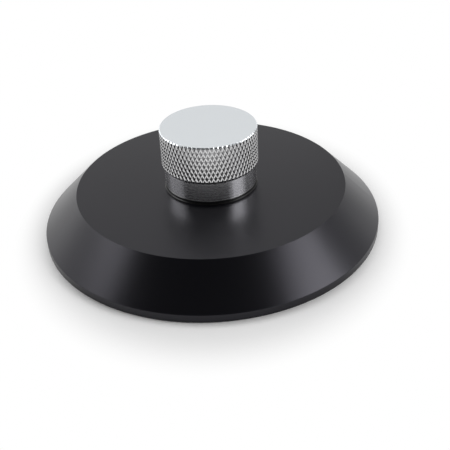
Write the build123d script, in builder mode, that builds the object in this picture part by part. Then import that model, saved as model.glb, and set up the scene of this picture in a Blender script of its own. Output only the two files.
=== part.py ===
from build123d import *
import os
from math import cos, pi, sin

# Record weight clamp: a turned disc that rests on the record's label, with a collet inside it that grips
# the turntable's spindle when the knurled knob draws it up into a tapered seat.
# The origin is on the axis, at the surface of the record. Sizes are in millimetres.

# Disc
disc_diameter = 100.0
top_diameter = 79.5
disc_height = 12.5
rim_height = 2.25
edge_break = 0.1

# Underside of the disc and its rubber pad
pad_margin = 2.5
pad_width = 8.0
pad_thickness = 1.2
pad_stand = 0.2
pad_clearance = 0.1
relief_margin = 3.0
relief_depth = 1.0

# Thread between the collet and the knob, and how far the knob turns to close the jaws
thread_diameter = 12.0
thread_pitch = 1.0
closing_turns = 0.75
thread_length = 10.5
running_clearance = 0.05

# Collet
spindle_bore = 7.3
head_diameter = 16.0
head_land = 1.0
head_inset = 0.5
guide_length = 3.5
flex_groove_depth = 0.8
flex_groove_width = 2.0
slot_count = 3
slot_width = 1.6
slot_length = 8.6
collet_chamfer = 0.5

# Key pin
key_diameter = 1.5
key_length = 5.0

# Thrust washer
washer_overhang = 0.3
washer_thickness = 1.0
washer_clearance = 0.4

# Knob
neck_diameter = 27.0
neck_height = 5.75
knurl_overhang = 0.6
knurl_height = 11.5
knurl_depth = 0.3
knurl_starts = 70
knurl_rows = 8
top_chamfer = 0.3
foot_chamfer_depth = 0.5
foot_chamfer_height = 0.8
bore_headroom = 1.5
bore_chamfer = 0.6

# Heights above the record, worked out from the sizes above
disc_bottom = pad_stand
disc_top = disc_bottom + disc_height
relief_plane = disc_bottom + relief_depth
knob_bottom = disc_top + washer_thickness
knurl_bottom = knob_bottom + neck_height
knob_top = knurl_bottom + knurl_height
first_row = knurl_bottom + foot_chamfer_height
row_height = (knob_top - top_chamfer - first_row) / knurl_rows
collet_travel = thread_pitch * closing_turns
collet_bottom = relief_plane + head_inset
cone_bottom = collet_bottom + head_land
cone_top = disc_top - guide_length - collet_travel
collet_top = knob_bottom + thread_length
bore_top = collet_top + collet_travel + bore_headroom

# Radii, worked out from the sizes above
disc_radius = disc_diameter / 2
top_radius = top_diameter / 2
pad_outer_radius = disc_radius - pad_margin
pad_inner_radius = pad_outer_radius - pad_width
relief_radius = pad_inner_radius - relief_margin
spindle_radius = spindle_bore / 2
head_radius = head_diameter / 2
shank_radius = thread_diameter / 2
seat_mouth_radius = head_radius + running_clearance
guide_radius = shank_radius + running_clearance
groove_radius = shank_radius - flex_groove_depth
neck_radius = neck_diameter / 2
knurl_radius = neck_radius + knurl_overhang
washer_radius = neck_radius + washer_overhang
washer_hole_radius = shank_radius + washer_clearance


# Disc: the seat is the collet's own taper, moved up by its travel and out by the running clearance
with BuildPart() as disc:
    with BuildSketch(Plane.XZ):
        with BuildLine():
            Polyline(
                (seat_mouth_radius, relief_plane),
                (relief_radius, relief_plane),
                (relief_radius, disc_bottom),
                (disc_radius, disc_bottom),
                (disc_radius, disc_bottom + rim_height),
                (top_radius, disc_top),
                (guide_radius, disc_top),
                (guide_radius, cone_top + collet_travel),
                (seat_mouth_radius, cone_bottom + collet_travel),
                close=True,
            )
        make_face()
    revolve(axis=Axis.Z)
    with BuildSketch(Plane.XY.offset(disc_bottom)):
        Circle(pad_outer_radius + pad_clearance)
        Circle(pad_inner_radius - pad_clearance, mode=Mode.SUBTRACT)
    extrude(amount=pad_thickness - pad_stand, mode=Mode.SUBTRACT)
    with BuildSketch(Plane.XY.offset(relief_plane)):
        with Locations((seat_mouth_radius, 0)):
            Circle(key_diameter / 2)
    extrude(amount=key_length, mode=Mode.SUBTRACT)
    rim_edges = disc.edges().filter_by(GeomType.CIRCLE).group_by(SortBy.RADIUS)[-1]
    chamfer(rim_edges, length=edge_break)

# Base pad: a flat ring, glued into its groove, that stands a little below the disc
with BuildPart() as base_pad:
    with BuildSketch(Plane.XY):
        Circle(pad_outer_radius)
        Circle(pad_inner_radius, mode=Mode.SUBTRACT)
    extrude(amount=pad_thickness)

# Key pin: a dowel, half in the wall of the seat and half in one of the collet's slots
with BuildPart() as key_pin:
    with BuildSketch(Plane.XY.offset(relief_plane)):
        with Locations((seat_mouth_radius, 0)):
            Circle(key_diameter / 2)
    extrude(amount=key_length)

# Collet: a turned blank with a tapered head, sawn into jaws from below
with BuildPart() as collet:
    with BuildSketch(Plane.XZ):
        with BuildLine():
            Polyline(
                (spindle_radius, collet_bottom),
                (head_radius, collet_bottom),
                (head_radius, cone_bottom),
                (shank_radius, cone_top),
                (groove_radius, cone_top),
                (groove_radius, cone_top + flex_groove_width),
                (shank_radius, cone_top + flex_groove_width),
                (shank_radius, collet_top),
                (spindle_radius, collet_top),
                close=True,
            )
        make_face()
    revolve(axis=Axis.Z)
    with BuildSketch(Plane.XY.offset(collet_bottom)):
        with PolarLocations(0, slot_count):
            Rectangle(2 * head_radius, slot_width, align=(Align.MIN, Align.CENTER))
    extrude(amount=slot_length, mode=Mode.SUBTRACT)
    shank_end = collet.edges().group_by(Axis.Z)[-1].sort_by(SortBy.RADIUS)[-1]
    chamfer(shank_end, length=collet_chamfer)

# Thrust washer: the knob turns on it, and the collet's shank keeps it on the axis
with BuildPart() as thrust_washer:
    with BuildSketch(Plane.XY.offset(disc_top)):
        Circle(washer_radius)
        Circle(washer_hole_radius, mode=Mode.SUBTRACT)
    extrude(amount=washer_thickness)


def knurl_point(column, level):
    """A corner of the knurl. Peaks and crossings of the grooves take turns along every row and column.
    The chamfers run out in a plain ring below the first row and above the last."""
    if level < 0:
        radius = knurl_radius - foot_chamfer_depth
        height = knurl_bottom
    elif level > knurl_rows:
        radius = knurl_radius - top_chamfer
        height = knob_top
    else:
        is_peak = (column + level) % 2 == 0
        radius = knurl_radius if is_peak else knurl_radius - knurl_depth
        height = first_row + level * row_height
    angle = pi * column / knurl_starts
    return Vector(radius * cos(angle), radius * sin(angle), height)


def knurl_facets():
    """The two triangles of every cell of the lattice, which meet along a groove."""
    facets = []
    for level in range(-1, knurl_rows + 1):
        for column in range(2 * knurl_starts):
            near = knurl_point(column, level)
            beside = knurl_point(column + 1, level)
            above = knurl_point(column, level + 1)
            across = knurl_point(column + 1, level + 1)
            if (column + level) % 2 == 0:
                triangles = [(near, beside, above), (beside, across, above)]
            else:
                triangles = [(near, beside, across), (near, across, above)]
            facets += [Face(Wire.make_polygon(corners)) for corners in triangles]
    return facets


def knurl_end(level):
    """The flat that closes the knurl at one of its ends."""
    return Face(Wire.make_polygon([knurl_point(column, level) for column in range(2 * knurl_starts)]))


# Diamond knurl: small pyramids between two sets of crossing helical grooves
knurl = Solid(Shell(knurl_facets() + [knurl_end(-1), knurl_end(knurl_rows + 1)]))

# Knob: the knurl, the plain neck below it and the threaded bore
with BuildPart() as knob:
    add(knurl)
    with BuildSketch(Plane.XY.offset(knob_bottom)):
        Circle(neck_radius)
    extrude(amount=neck_height)
    with BuildSketch(Plane.XY.offset(knob_bottom)):
        Circle(guide_radius)
    extrude(amount=bore_top - knob_bottom, mode=Mode.SUBTRACT)
    bore_mouth = knob.edges().filter_by(GeomType.CIRCLE).group_by(Axis.Z)[0].sort_by(SortBy.RADIUS)[0]
    chamfer(bore_mouth, length=bore_chamfer)

pieces = {
    "disc": disc,
    "base_pad": base_pad,
    "key_pin": key_pin,
    "collet": collet,
    "thrust_washer": thrust_washer,
    "knob": knob,
}
os.makedirs("parts", exist_ok=True)
for name, piece in pieces.items():
    piece.part.label = name
    export_step(piece.part, f"parts/{name}.step")
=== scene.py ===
from math import atan2, cos, pi, radians, sin, tan
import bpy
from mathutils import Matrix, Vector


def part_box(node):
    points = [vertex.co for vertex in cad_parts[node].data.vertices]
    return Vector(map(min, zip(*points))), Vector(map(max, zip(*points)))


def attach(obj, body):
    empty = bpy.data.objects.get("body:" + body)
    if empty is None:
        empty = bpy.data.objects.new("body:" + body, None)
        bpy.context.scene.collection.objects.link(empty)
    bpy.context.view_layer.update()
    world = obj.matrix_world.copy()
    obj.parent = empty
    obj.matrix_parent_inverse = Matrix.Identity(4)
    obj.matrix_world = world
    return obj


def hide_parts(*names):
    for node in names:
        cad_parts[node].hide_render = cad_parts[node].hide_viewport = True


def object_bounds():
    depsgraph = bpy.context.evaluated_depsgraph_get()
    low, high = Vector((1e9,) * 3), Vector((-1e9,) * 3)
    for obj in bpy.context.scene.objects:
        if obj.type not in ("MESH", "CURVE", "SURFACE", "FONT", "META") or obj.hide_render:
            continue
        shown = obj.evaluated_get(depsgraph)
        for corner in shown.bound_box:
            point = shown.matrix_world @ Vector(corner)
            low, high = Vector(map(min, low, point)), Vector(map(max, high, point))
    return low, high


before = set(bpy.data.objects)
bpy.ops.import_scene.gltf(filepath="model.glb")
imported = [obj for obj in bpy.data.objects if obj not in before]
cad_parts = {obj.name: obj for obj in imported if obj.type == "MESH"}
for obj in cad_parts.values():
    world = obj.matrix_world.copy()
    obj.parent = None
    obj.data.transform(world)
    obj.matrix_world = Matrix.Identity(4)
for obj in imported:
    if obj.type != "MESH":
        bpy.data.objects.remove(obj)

from types import SimpleNamespace

import bmesh
import bpy
from mathutils import Matrix, Vector

cad_low, cad_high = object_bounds()

# Sizes taken from the frame, in metres
DISC_LOW, DISC_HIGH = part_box("disc")
KNOB_LOW, KNOB_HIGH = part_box("knob")
TINY = 1e-6

# Camera, in metres and degrees: it stands in front of the disc and looks a little past its middle
CAMERA_DISTANCE = 0.238189
CAMERA_ELEVATION = 32.703
CAMERA_YAW = 2.766
CAMERA_PITCH = -1.05
CAMERA_ROLL = -3.488
CAMERA_LENS = 61.928
CAMERA_SHIFT = (-0.0596, 0.0063)
SENSOR_WIDTH = 36.0

# Room: how bright it is behind the object and in front of it, and the depths between which that changes
BACK_LEVEL = 0.29
FRONT_LEVEL = 0.045
DEPTH_DARK = -0.1
DEPTH_BRIGHT = 0.7

# Horizon: how bright it is, and the heights between which it gives way to the room
HORIZON_LEVEL = 1.0
HORIZON_TOP = (0.07, 0.25)

# Softboxes seen from the object, in degrees and metres: azimuth 0 is on the camera's side and 90 on its right
SOFTBOX_DISTANCE = 0.8
SOFTBOXES = {
    "left_softbox": dict(azimuth=(-124, -74), elevation=(26, 43), level=3.2),
    "left_low_softbox": dict(azimuth=(-148, -74), elevation=(4, 26), level=0.75),
    "right_softbox": dict(azimuth=(50, 86), elevation=(14, 42), level=5.5),
    "right_low_softbox": dict(azimuth=(86, 126), elevation=(4, 48), level=0.55),
    "back_softbox": dict(azimuth=(162, 212), elevation=(6, 54), level=0.45),
    "front_softbox": dict(azimuth=(-56, 42), elevation=(12, 42), level=0.1),
    "top_softbox": dict(azimuth=(115, 245), elevation=(48, 78), level=1.0),
}

# Floor, in metres: half its width, its paint and the faint glow that it has where it is seen. It turns into
# the horizon between two distances from the middle, measured after a squeeze along each axis.
FLOOR_HALF = 30.0
FLOOR_WHITE = 0.98
FLOOR_LIFT = 0.04
FLOOR_FADE = (0.053, 0.07)
FLOOR_SQUEEZE = (1.17, 1.0, 1.0)

# Knurl of the knob: the flat share of each diamond, and the depth of the grooves as a share of the solid's
LAND = 0.56
GROOVE = 0.68

# Washer: the flat faces around it, and the width and height of its step in metres
WASHER_SIDES = 256
WASHER_STEP = 0.00015

# Noise of the materials: its octaves past the first, and the values between which it changes their looks
NOISE_DETAIL = 3.0
NOISE_RANGE = (0.3, 0.7)


def make_camera():
    """Places the camera from its distance and elevation, then turns it by yaw, pitch and roll."""
    elevation = radians(CAMERA_ELEVATION)
    target = Vector((0, 0, DISC_LOW.z))
    to_camera = Vector((0, -cos(elevation), sin(elevation)))
    right = Vector((1, 0, 0))
    up = right.cross(-to_camera)
    forward = (-to_camera + right * tan(radians(CAMERA_YAW)) + up * tan(radians(CAMERA_PITCH))).normalized()
    right = forward.cross(up).normalized()
    up = right.cross(forward)
    roll = radians(CAMERA_ROLL)
    rolled_right = right * cos(roll) + up * sin(roll)
    rolled_up = up * cos(roll) - right * sin(roll)
    data = bpy.data.cameras.new("camera")
    data.lens = CAMERA_LENS
    data.sensor_width = SENSOR_WIDTH
    data.shift_x, data.shift_y = CAMERA_SHIFT
    camera = bpy.data.objects.new("camera", data)
    bpy.context.scene.collection.objects.link(camera)
    turn = Matrix((rolled_right, rolled_up, -forward)).transposed()
    camera.matrix_world = Matrix.Translation(target + to_camera * CAMERA_DISTANCE) @ turn.to_4x4()
    bpy.context.scene.camera = camera


class Tree:
    """A node tree with short calls for adding and joining nodes."""

    def __init__(self, owner):
        owner.use_nodes = True
        self.nodes, self.links = owner.node_tree.nodes, owner.node_tree.links

    def add(self, kind, inputs=(), **settings):
        """Adds a node. Inputs are pairs of a socket's name or number and a value or another node's output."""
        node = self.nodes.new("ShaderNode" + kind)
        for name, value in settings.items():
            setattr(node, name, value)
        for socket, value in inputs:
            self.set(node, socket, value)
        return node

    def set(self, node, socket, value):
        if isinstance(value, bpy.types.NodeSocket):
            self.links.new(value, node.inputs[socket])
        else:
            node.inputs[socket].default_value = value

    def math(self, operation, first, second=0.0):
        return self.add("Math", [(0, first), (1, second)], operation=operation).outputs[0]

    def ramp(self, value, start, end, low=0.0, high=1.0, kind="SMOOTHSTEP"):
        """Takes a value from start to end over to low to high."""
        ends = [("Value", value), ("From Min", start), ("From Max", end), ("To Min", low), ("To Max", high)]
        return self.add("MapRange", ends, interpolation_type=kind).outputs[0]


def seen(tree):
    """One for rays from the camera and for those that metal or glass sends on, else zero."""
    path = tree.add("LightPath").outputs
    clear = tree.math("MAXIMUM", path["Is Glossy Ray"], path["Is Transmission Ray"])
    return tree.math("MAXIMUM", path["Is Camera Ray"], clear)


def make_world():
    """A dim room that is brighter behind the object than in front of it, with a pale horizon."""
    world = bpy.data.worlds.new("studio")
    bpy.context.scene.world = world
    tree = Tree(world)
    tree.nodes.clear()
    direction = tree.add("TexCoord").outputs["Generated"]
    _, depth, height = tree.add("SeparateXYZ", [(0, direction)]).outputs
    room = tree.ramp(depth, DEPTH_DARK, DEPTH_BRIGHT, FRONT_LEVEL, BACK_LEVEL)
    horizon = tree.math("MULTIPLY", seen(tree), tree.ramp(height, *HORIZON_TOP, 1.0, 0.0))
    level = tree.add("Mix", [(0, horizon), (2, room), (3, HORIZON_LEVEL)]).outputs[0]
    background = tree.add("Background", [("Color", (1, 1, 1, 1)), ("Strength", level)])
    output = tree.add("OutputWorld")
    tree.set(output, "Surface", background.outputs[0])


def softbox(name, azimuth, elevation, level):
    """A flat light that faces the object, fills the given angles and is as bright as level times white."""
    (left, right), (low, high) = [[radians(angle) for angle in ends] for ends in (azimuth, elevation)]
    turn, rise = (left + right) / 2, (low + high) / 2
    out = Vector((sin(turn) * cos(rise), -cos(turn) * cos(rise), sin(rise)))
    data = bpy.data.lights.new(name, "AREA")
    data.shape = "RECTANGLE"
    data.size = 2 * SOFTBOX_DISTANCE * cos(rise) * tan((right - left) / 2)
    data.size_y = 2 * SOFTBOX_DISTANCE * tan((high - low) / 2)
    data.energy = level * pi * data.size * data.size_y
    light = bpy.data.objects.new(name, data)
    light.location = out * SOFTBOX_DISTANCE
    light.rotation_mode = "QUATERNION"
    light.rotation_quaternion = out.to_track_quat("Z", "Y")
    light.visible_camera = False
    bpy.context.scene.collection.objects.link(light)


def make_floor():
    """A plain white floor that keeps the object's shadow and runs out into the horizon."""
    mesh = bpy.data.meshes.new("floor")
    h = FLOOR_HALF
    mesh.from_pydata([(-h, -h, 0), (h, -h, 0), (h, h, 0), (-h, h, 0)], [], [(0, 1, 2, 3)])
    floor = bpy.data.objects.new("floor", mesh)
    floor.location.z = cad_low.z
    bpy.context.scene.collection.objects.link(floor)
    material = bpy.data.materials.new("floor_white")
    tree = Tree(material)
    tree.nodes.clear()
    paint = tree.add("BsdfDiffuse", [("Color", (FLOOR_WHITE, FLOOR_WHITE, FLOOR_WHITE, 1))])
    is_seen = seen(tree)
    lift = tree.add("Emission", [("Strength", tree.math("MULTIPLY", is_seen, FLOOR_LIFT))])
    near = tree.add("AddShader", [(0, paint.outputs[0]), (1, lift.outputs[0])])
    far = tree.add("Emission", [("Strength", HORIZON_LEVEL)])
    place = tree.add("TexCoord").outputs["Object"]
    squeezed = tree.add("VectorMath", [(0, place), (1, FLOOR_SQUEEZE)], operation="MULTIPLY").outputs[0]
    distance = tree.add("VectorMath", [(0, squeezed)], operation="LENGTH").outputs["Value"]
    fade = tree.math("MULTIPLY", is_seen, tree.ramp(distance, *FLOOR_FADE))
    both = tree.add("MixShader", [(0, fade), (1, near.outputs[0]), (2, far.outputs[0])])
    output = tree.add("OutputMaterial")
    tree.set(output, "Surface", both.outputs[0])
    mesh.materials.append(material)


def turned(tree, lines):
    """Fine rings left by the lathe: noise that changes across them alone, with so many lines in a metre."""
    place = tree.add("TexCoord").outputs["Object"]
    x, y, z = tree.add("SeparateXYZ", [(0, place)]).outputs
    radius = tree.math("SQRT", tree.math("ADD", tree.math("MULTIPLY", x, x), tree.math("MULTIPLY", y, y)))
    across = tree.math("SUBTRACT", radius, z)
    rings = [("W", across), ("Scale", lines), ("Detail", NOISE_DETAIL)]
    return tree.add("TexNoise", rings, noise_dimensions="1D").outputs["Fac"]


def grain(tree, grains):
    """Fine grain without a direction, with so many grains in a metre."""
    place = tree.add("TexCoord").outputs["Object"]
    grainy = [("Vector", place), ("Scale", grains), ("Detail", NOISE_DETAIL)]
    return tree.add("TexNoise", grainy).outputs["Fac"]


def surface(name, texture, size, dark, light, roughness, depth, ringed=False, **uniform):
    """A new material. Its texture changes the colour from dark to light, the roughness, and the height in
    metres. Where it is ringed, its shine follows rings around the axis. Uniform values are set on the
    shader's own sockets."""
    material = bpy.data.materials.new(name)
    tree = Tree(material)
    shader = tree.nodes["Principled BSDF"]
    for socket, value in uniform.items():
        shader.inputs[socket.replace("_", " ")].default_value = value
    height = texture(tree, size)
    share = tree.ramp(height, *NOISE_RANGE, kind="LINEAR")
    blend = tree.add("Mix", [(0, share), (6, (*dark, 1)), (7, (*light, 1))], data_type="RGBA")
    tree.set(shader, "Base Color", blend.outputs[2])
    tree.set(shader, "Roughness", tree.ramp(height, *NOISE_RANGE, *roughness, kind="LINEAR"))
    bump = tree.add("Bump", [("Height", height), ("Distance", depth)])
    tree.set(shader, "Normal", bump.outputs[0])
    if ringed:
        tree.set(shader, "Tangent", tree.add("Tangent", direction_type="RADIAL", axis="Z").outputs[0])
    return material


def assign(node, material):
    """Gives a CAD node its material."""
    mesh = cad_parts[node].data
    mesh.materials.clear()
    mesh.materials.append(material)


def add_piece(bm, name, materials, body, node):
    """Makes the finished faces a piece that rides on a body in the place of a CAD node."""
    bmesh.ops.remove_doubles(bm, verts=bm.verts, dist=TINY)
    bmesh.ops.recalc_face_normals(bm, faces=bm.faces)
    for edge in bm.edges:
        edge.smooth = all(face.smooth for face in edge.link_faces)
    mesh = bpy.data.meshes.new(name)
    bm.to_mesh(mesh)
    bm.free()
    for material in materials:
        mesh.materials.append(material)
    piece = bpy.data.objects.new(name, mesh)
    bpy.context.scene.collection.objects.link(piece)
    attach(piece, body)
    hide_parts(node)


def knob_sizes():
    """Radii and heights of the knob, in metres, and the counts of its knurl, read from its solid."""
    points = [v.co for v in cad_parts["knob"].data.vertices]

    def radii(height):
        return [p.xy.length for p in points if abs(p.z - height) < TINY]

    outer = max(p.xy.length for p in points)
    bore = min(p.xy.length for p in points)
    neck = max(radii(KNOB_LOW.z))
    foot = min(p.z for p in points if p.xy.length > neck + TINY)
    bore_heights = [p.z for p in points if p.xy.length < bore + TINY]
    peaks = sorted({round(p.z, 6) for p in points if p.xy.length > outer - TINY})
    # A column at half a turn can show up twice, at minus pi and at pi
    columns = {round(atan2(p.y, p.x), 3) for p in points if p.z > KNOB_HIGH.z - TINY}
    return SimpleNamespace(
        outer=outer,
        groove=min(radius for radius in radii(peaks[0]) if radius > neck - TINY),
        rows=len(peaks) - 1,
        columns=len(columns) - len(columns) % 2,
        first_row=peaks[0],
        row_height=(peaks[-1] - peaks[0]) / (len(peaks) - 1),
        top=max(radii(KNOB_HIGH.z)),
        below=[
            (bore, max(bore_heights)),
            (bore, min(bore_heights)),
            (min(radii(KNOB_LOW.z)), KNOB_LOW.z),
            (neck, KNOB_LOW.z),
            (neck, foot),
            (max(radii(foot)), foot),
        ],
    )


def knurl_faces(size, point):
    """Every diamond of the knurl: its flat land, and the flanks that fall from its edges to the grooves."""
    lands, flanks = [], []
    for level in range(size.rows + 1):
        for column in range(level % 2, size.columns, 2):
            west, east = point(column - LAND, size.outer, level), point(column + LAND, size.outer, level)
            south, north = point(column, size.outer, level - LAND), point(column, size.outer, level + LAND)
            left, right = point(column - 1, size.groove, level), point(column + 1, size.groove, level)
            below, above = point(column, size.groove, level - 1), point(column, size.groove, level + 1)
            lower_flanks = [(west, left, below, south), (south, below, right, east)]
            upper_flanks = [(east, right, above, north), (north, above, left, west)]
            if level == 0:
                lands.append((west, east, north))
                flanks += upper_flanks
            elif level == size.rows:
                lands.append((west, south, east))
                flanks += lower_flanks
            else:
                lands.append((west, south, east, north))
                flanks += lower_flanks + upper_flanks
    return lands, flanks


def make_knob(top, land, flank, neck):
    """The knob with flat lands on the diamonds of its knurl, where the solid has points."""
    size = knob_sizes()
    size.groove = size.outer - (size.outer - size.groove) * GROOVE
    bm = bmesh.new()

    def point(column, radius, level):
        angle = 2 * pi * column / size.columns
        return Vector((radius * cos(angle), radius * sin(angle), size.first_row + level * size.row_height))

    def end(level):
        """The knurl's outline at its first or last row, as columns and radii."""
        corners = ((-LAND, size.outer), (LAND, size.outer), (1, size.groove))
        return [(c + step, r) for c in range(level % 2, size.columns, 2) for step, r in corners]

    def ring(level, radius, height):
        """A plain ring with a corner above or below each corner of that outline."""
        return [point(column, radius, 0).xy.to_3d() + Vector((0, 0, height)) for column, _ in end(level)]

    def add(corners, material, smooth=False):
        face = bm.faces.new([bm.verts.new(corner) for corner in corners])
        face.material_index = material
        face.smooth = smooth

    def bands(rings, material, smooth=False):
        for lower, upper in zip(rings, rings[1:]):
            for i in range(len(lower)):
                add((lower[i - 1], lower[i], upper[i], upper[i - 1]), material, smooth)

    top_slot, land_slot, flank_slot, neck_slot = range(4)
    # The knurl's faces take the darkened aluminium of the lands and flanks: painted shade
    for slot, faces in zip((land_slot, flank_slot), knurl_faces(size, point)):
        for corners in faces:
            add(corners, slot)
    below = [ring(0, radius, height) for radius, height in size.below]
    add(below[0], neck_slot)
    bands(below[:2], neck_slot, smooth=True)
    bands(below[1:4], neck_slot)
    bands(below[3:5], neck_slot, smooth=True)
    bands(below[4:] + [[point(column, radius, 0) for column, radius in end(0)]], flank_slot)
    top_ring = ring(size.rows, size.top, KNOB_HIGH.z)
    bands([[point(column, radius, size.rows) for column, radius in end(size.rows)], top_ring], top_slot)
    add(top_ring, top_slot)
    add_piece(bm, "knurled_knob", (top, land, flank, neck), "knob", "knob")


def make_washer(material):
    """The thrust washer with a narrow chamfered step near its foot, where the solid is straight."""
    low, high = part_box("thrust_washer")
    hole = min(v.co.xy.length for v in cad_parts["thrust_washer"].data.vertices)
    foot, step = high.x, high.x - WASHER_STEP
    outline = [(hole, low.z), (foot, low.z), (foot, low.z + WASHER_STEP)]
    outline += [(step, low.z + 2 * WASHER_STEP), (step, high.z), (hole, high.z)]
    bm = bmesh.new()
    for side in range(WASHER_SIDES):
        turns = [2 * pi * corner / WASHER_SIDES for corner in (side, side + 1)]
        left, right = [[(r * cos(turn), r * sin(turn), z) for r, z in outline] for turn in turns]
        for i in range(len(outline)):
            bm.faces.new([bm.verts.new(corner) for corner in (left[i - 1], right[i - 1], right[i], left[i])])
    add_piece(bm, "stepped_washer", (material,), "base", "thrust_washer")


make_camera()
make_world()
make_floor()
for name, place in SOFTBOXES.items():
    softbox(name, **place)

black = surface(
    "black_anodised", grain, 9000, (0.0028, 0.0028, 0.0038), (0.0036, 0.0036, 0.005), (0.28, 0.32), 1e-6,
    IOR=1.44, Specular_Tint=(0.9, 0.88, 1, 1))
top = surface(
    "knob_top", turned, 14000, (0.85, 0.887, 0.915), (0.87, 0.907, 0.935), (0.23, 0.27), 1e-7, Metallic=1.0)
# Painted shade: the knurl's lands and flanks are the knob's aluminium painted darker, the lands most
land = surface(
    "knob_land_painted_shade", grain, 12000, (0.28, 0.28, 0.285), (0.34, 0.34, 0.345), (0.23, 0.31), 1e-6, Metallic=1.0)
flank = surface(
    "knob_flank_painted_shade", grain, 12000, (0.62, 0.62, 0.625), (0.69, 0.69, 0.695), (0.18, 0.24), 1e-6, Metallic=1.0)
neck = surface(
    "knob_neck", turned, 9000, (0.9, 0.9, 0.92), (0.93, 0.93, 0.95), (0.24, 0.28), 1e-7, Metallic=1.0,
    ringed=True, Anisotropic=0.4, Anisotropic_Rotation=0.25)
washer = surface(
    "washer_black", grain, 6000, (0.0035, 0.0035, 0.0035), (0.005, 0.005, 0.005), (0.25, 0.33), 1e-6)
brass = surface(
    "collet_brass", turned, 7000, (0.68, 0.5, 0.24), (0.76, 0.58, 0.3), (0.24, 0.36), 6e-7, Metallic=1.0)
steel = surface(
    "pin_steel", grain, 9000, (0.55, 0.55, 0.55), (0.63, 0.63, 0.63), (0.25, 0.35), 1e-6, Metallic=1.0)
rubber = surface(
    "pad_rubber", grain, 2500, (0.016, 0.016, 0.016), (0.026, 0.026, 0.026), (0.65, 0.8), 2e-5)

assign("disc", black)
assign("collet", brass)
assign("key_pin", steel)
assign("base_pad", rubber)
make_knob(top, land, flank, neck)
make_washer(washer)

bpy.context.scene.view_settings.view_transform = "Standard"
